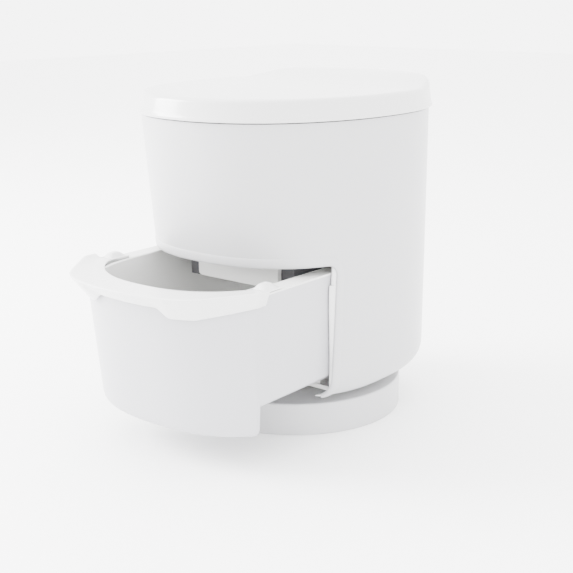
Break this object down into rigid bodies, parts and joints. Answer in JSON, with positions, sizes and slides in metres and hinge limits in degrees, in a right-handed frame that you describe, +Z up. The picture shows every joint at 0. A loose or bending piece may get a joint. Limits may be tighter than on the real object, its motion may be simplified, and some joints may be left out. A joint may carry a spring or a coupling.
{
  "type": "caravan toilet with pull-out waste drawer",
  "caption": "Oval caravan toilet with a hinged lid and seat on a round swivelling pedestal, a film-sealing unit under its bowl, and an open-topped waste drawer that slides out at the front.",
  "frame": {"origin": "the swivel axis at floor level, in the middle of the four floor screws", "axes": "+Z up; the user sits facing -Y and the drawer slides out towards -Y; +X to the right seen from the front"},
  "size_m": [0.365, 0.5699, 0.4815],
  "materials": {
    "white_shell": "satin moulded white",
    "white_lid": "glossy moulded white",
    "white_seat": "glossy moulded white",
    "white_frame": "satin moulded bright white",
    "white_tub": "satin moulded white",
    "grey_inner": "fine matte grey moulding",
    "dark_plastic": "fine matte anthracite moulding",
    "film": "thin glossy film",
    "steel_parts": "turned bright steel",
    "jaw_metal": "machined satin aluminium",
    "heater_metal": "flat brass strip",
    "soft_rubber": "soft black rubber",
    "panel_grey": "satin grey moulding",
    "blue_button": "satin blue button cap"
  },
  "bodies": {
    "pedestal": {"floor_plate": "dark_plastic", "pedestal_drum": "white_shell", "drum_screws": "steel_parts", "swivel_slide_ring": "grey_inner", "swivel_post": "steel_parts", "retaining_ring": "steel_parts"},
    "body": {"base_plate": "grey_inner", "swivel_bush": "dark_plastic", "body_shell": "white_shell", "opening_frame": "white_frame", "drawer_rails": "grey_inner", "top_deck": "white_shell", "inner_deck": "grey_inner", "bowl": "grey_inner", "film_cartridge": "dark_plastic", "film_liner": "film", "sealing_frame": "dark_plastic", "chute_cover": "grey_inner", "fixed_jaw": "jaw_metal", "heater_strip": "heater_metal", "guide_rods": "steel_parts", "drive_motor": "dark_plastic", "drive_belt": "soft_rubber", "control_box": "dark_plastic", "control_panel": "panel_grey", "power_inlet": "dark_plastic", "hinge_posts": "white_shell", "hinge_pins": "steel_parts", "drawer_catch": "dark_plastic", "unit_screws": "steel_parts"},
    "seat": {"seat_ring": "white_seat", "seat_hinge_arms": "white_seat", "seat_bumpers": "soft_rubber"},
    "lid": {"lid_shell": "white_lid", "lid_hinge_arms": "white_lid", "lid_bumpers": "soft_rubber"},
    "drawer": {"drawer_tub": "white_tub", "waste_bucket": "grey_inner", "bag_frame": "white_frame", "drawer_runners": "dark_plastic", "catch_plate": "steel_parts"},
    "jaw": {"moving_jaw": "jaw_metal", "jaw_pad": "soft_rubber"},
    "spindle_left_body": {"spindle_left": "steel_parts"},
    "spindle_right_body": {"spindle_right": "steel_parts"},
    "motor_rotor_body": {"motor_pulley": "steel_parts"},
    "seal_button_body": {"seal_button": "blue_button"},
    "power_button_body": {"power_button": "dark_plastic"}
  },
  "joints": [
    {"name": "body_swivel", "type": "hinge", "parent": "pedestal", "child": "body", "pos_m": [0, 0, 0.05], "axis": [0, 0, 1], "range_deg": [-90, 90]},
    {"name": "seat_lift", "type": "hinge", "parent": "body", "child": "seat", "pos_m": [0, 0.184, 0.456], "axis": [1, 0, 0], "range_deg": [-90, 0]},
    {"name": "lid_open", "type": "hinge", "parent": "seat", "child": "lid", "pos_m": [0, 0.184, 0.456], "axis": [-1, 0, 0], "range_deg": [0, 100]},
    {"name": "drawer_slide", "type": "slide", "parent": "body", "child": "drawer", "axis": [0, 1, 0], "range_m": [-0.04, 0.135]},
    {"name": "jaw_slide", "type": "slide", "parent": "body", "child": "jaw", "axis": [0, 1, 0], "range_m": [0, 0.04]},
    {"name": "spindle_left_turn", "type": "hinge", "parent": "body", "child": "spindle_left_body", "pos_m": [-0.09, 0, 0.212], "axis": [0, 1, 0], "range_deg": [-10, 1820]},
    {"name": "spindle_right_turn", "type": "hinge", "parent": "body", "child": "spindle_right_body", "pos_m": [0.09, 0, 0.212], "axis": [0, 1, 0], "range_deg": [-10, 1820]},
    {"name": "motor_turn", "type": "hinge", "parent": "body", "child": "motor_rotor_body", "pos_m": [0, 0.04, 0.24], "axis": [0, 1, 0], "range_deg": [-10, 1820]},
    {"name": "seal_button_press", "type": "slide", "parent": "body", "child": "seal_button_body", "axis": [1, 0, 0], "range_m": [0, 0.0022], "stiffness_N_per_m": 900},
    {"name": "power_button_press", "type": "slide", "parent": "body", "child": "power_button_body", "axis": [1, 0, 0], "range_m": [0, 0.0022], "stiffness_N_per_m": 900}
  ],
  "couplings": [
    {"joint": "spindle_left_turn", "follows": "jaw_slide", "rad_per_m": 785.4},
    {"joint": "spindle_right_turn", "follows": "jaw_slide", "rad_per_m": 785.4},
    {"joint": "motor_turn", "follows": "jaw_slide", "rad_per_m": 785.4}
  ]
}
